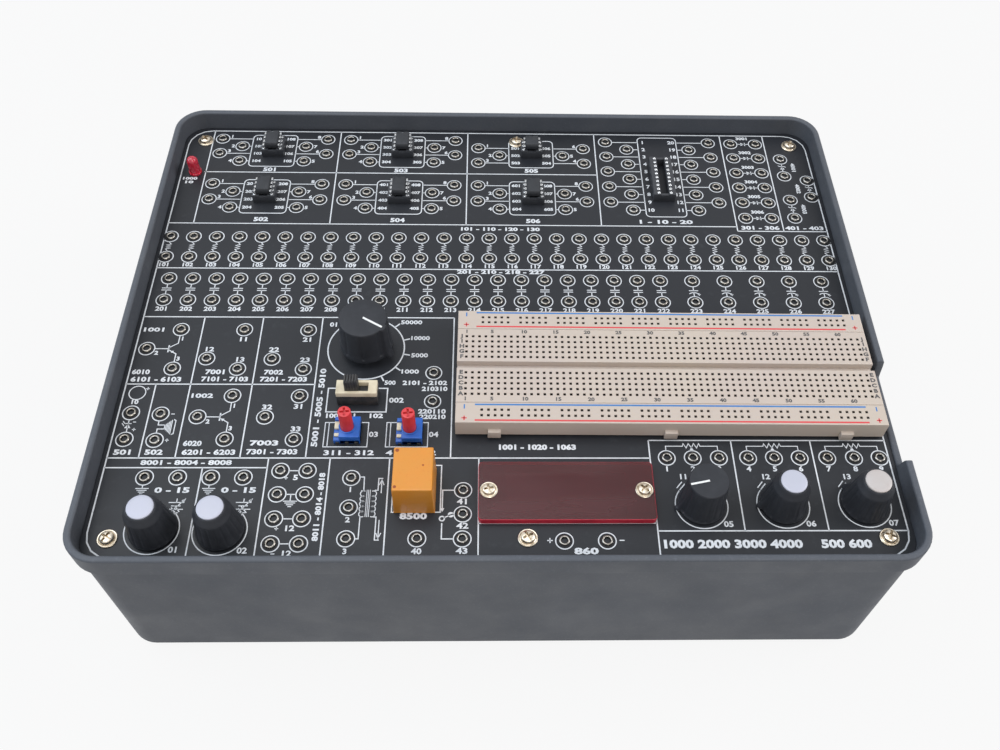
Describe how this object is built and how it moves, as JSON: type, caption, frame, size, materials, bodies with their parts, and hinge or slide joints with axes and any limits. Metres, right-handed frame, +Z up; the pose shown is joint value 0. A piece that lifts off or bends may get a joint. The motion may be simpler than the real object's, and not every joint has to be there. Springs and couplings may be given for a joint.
{
  "type": "bench circuit trainer",
  "caption": "Shallow moulded case with a dark patch panel: banks of jacks, socketed chips, control knobs, range selector, relay, meter window and a solderless breadboard.",
  "frame": {"origin": "middle of the footprint, on the surface that the feet stand on", "axes": "+Z up, +X to the right and +Y to the back, as a user sits at it"},
  "size_m": [0.3048, 0.2344, 0.097],
  "materials": {
    "case_plastic": "fine matt moulded texture",
    "foot_rubber": "matt",
    "panel_print": "satin printed board, white lines",
    "screw_nickel": "nickel plated, slightly warm",
    "jack_nickel": "turned nickel plated",
    "socket_black": "matt moulded",
    "chip_black": "matt moulded epoxy with tinned legs",
    "foam_pad": "foam tape",
    "board_white": "aged cream plastic",
    "lamp_red": "clear tinted",
    "relay_orange": "moulded cover",
    "window_red": "tinted acrylic, scratched",
    "display_dark": "digit module",
    "circuit_green": "solder resist",
    "switch_black": "moulded",
    "switch_cream": "moulded",
    "trimmer_blue": "moulded",
    "trimmer_red": "moulded",
    "pot_steel": "pressed can",
    "knob_black": "moulded, satin",
    "cap_pale": "pressed-in cap",
    "core_steel": "varnished laminations",
    "winding_tape": "tape over winding",
    "capacitor_sleeve": "sleeved can",
    "sink_aluminium": "extruded",
    "speaker_paper": "paper cone",
    "magnet_paint": "ferrite",
    "inlet_black": "moulded",
    "rocker_red": "moulded"
  },
  "bodies": {
    "base": {"case_tray": "case_plastic", "rubber_feet": "foot_rubber", "panel_board": "panel_print", "panel_screws": "screw_nickel", "patch_jacks": "jack_nickel", "chip_sockets": "socket_black", "chips": "chip_black", "breadboard_pad": "foam_pad", "breadboard_strip": "board_white", "breadboard_bus_rear": "board_white", "breadboard_bus_front": "board_white", "power_lamp": "lamp_red", "relay": "relay_orange", "meter_window": "window_red", "window_screws": "screw_nickel", "meter_display": "display_dark", "meter_board": "circuit_green", "window_nuts": "screw_nickel", "meter_spacers": "screw_nickel", "slide_switch_housing": "switch_black", "slide_switch_plate": "switch_cream", "trimmer_body_1": "trimmer_blue", "trimmer_body_2": "trimmer_blue", "pot_bodies": "pot_steel", "control_nuts": "screw_nickel", "rotary_switch": "pot_steel", "transformer_core": "core_steel", "transformer_winding": "winding_tape", "transformer_bracket": "pot_steel", "inner_screws": "screw_nickel", "supply_board": "circuit_green", "filter_capacitors": "capacitor_sleeve", "heat_sink": "sink_aluminium", "regulators": "chip_black", "speaker_basket": "speaker_paper", "speaker_magnet": "magnet_paint", "mains_inlet": "inlet_black", "rocker_housing": "inlet_black"},
    "selector": {"selector_knob": "knob_black", "rotary_shaft": "pot_steel"},
    "slide_switch": {"slide_switch_slider": "switch_black"},
    "trimmer_a": {"trimmer_shaft_1": "trimmer_red"},
    "trimmer_b": {"trimmer_shaft_2": "trimmer_red"},
    "rocker": {"rocker_key": "rocker_red"},
    "control_1": {"knob_1": "knob_black", "pot_shaft_1": "pot_steel", "knob_cap_1": "cap_pale"},
    "control_2": {"knob_2": "knob_black", "pot_shaft_2": "pot_steel", "knob_cap_2": "cap_pale"},
    "control_3": {"knob_3": "knob_black", "pot_shaft_3": "pot_steel"},
    "control_4": {"knob_4": "knob_black", "pot_shaft_4": "pot_steel", "knob_cap_4": "cap_pale"},
    "control_5": {"knob_5": "knob_black", "pot_shaft_5": "pot_steel", "knob_cap_5": "cap_pale"}
  },
  "joints": [
    {"name": "control_1_turn", "type": "hinge", "parent": "base", "child": "control_1", "pos_m": [-0.1246, -0.1004, 0.085], "axis": [0, 0, 1], "range_deg": [-200, 100]},
    {"name": "control_2_turn", "type": "hinge", "parent": "base", "child": "control_2", "pos_m": [-0.1008, -0.1006, 0.085], "axis": [0, 0, 1], "range_deg": [-200, 100]},
    {"name": "control_3_turn", "type": "hinge", "parent": "base", "child": "control_3", "pos_m": [0.073, -0.0905, 0.085], "axis": [0, 0, 1], "range_deg": [-252, 48]},
    {"name": "control_4_turn", "type": "hinge", "parent": "base", "child": "control_4", "pos_m": [0.1034, -0.0904, 0.085], "axis": [0, 0, 1], "range_deg": [-247, 53]},
    {"name": "control_5_turn", "type": "hinge", "parent": "base", "child": "control_5", "pos_m": [0.1338, -0.0903, 0.085], "axis": [0, 0, 1], "range_deg": [-193, 107]},
    {"name": "selector_turn", "type": "hinge", "parent": "base", "child": "selector", "pos_m": [-0.0544, -0.0188, 0.088], "axis": [0, 0, 1], "range_deg": [-27, 81]},
    {"name": "slide_switch_slide", "type": "slide", "parent": "base", "child": "slide_switch", "axis": [1, 0, 0], "range_m": [0, 0.00365]},
    {"name": "trimmer_a_turn", "type": "hinge", "parent": "base", "child": "trimmer_a", "pos_m": [-0.0587, -0.0595, 0.085], "axis": [0, 0, 1], "range_deg": [-135, 135]},
    {"name": "trimmer_b_turn", "type": "hinge", "parent": "base", "child": "trimmer_b", "pos_m": [-0.0351, -0.06, 0.085], "axis": [0, 0, 1], "range_deg": [-135, 135]},
    {"name": "rocker_rock", "type": "hinge", "parent": "base", "child": "rocker", "pos_m": [-0.052, 0.11335, 0.044], "axis": [0, 0, 1], "range_deg": [-14, 0]}
  ]
}
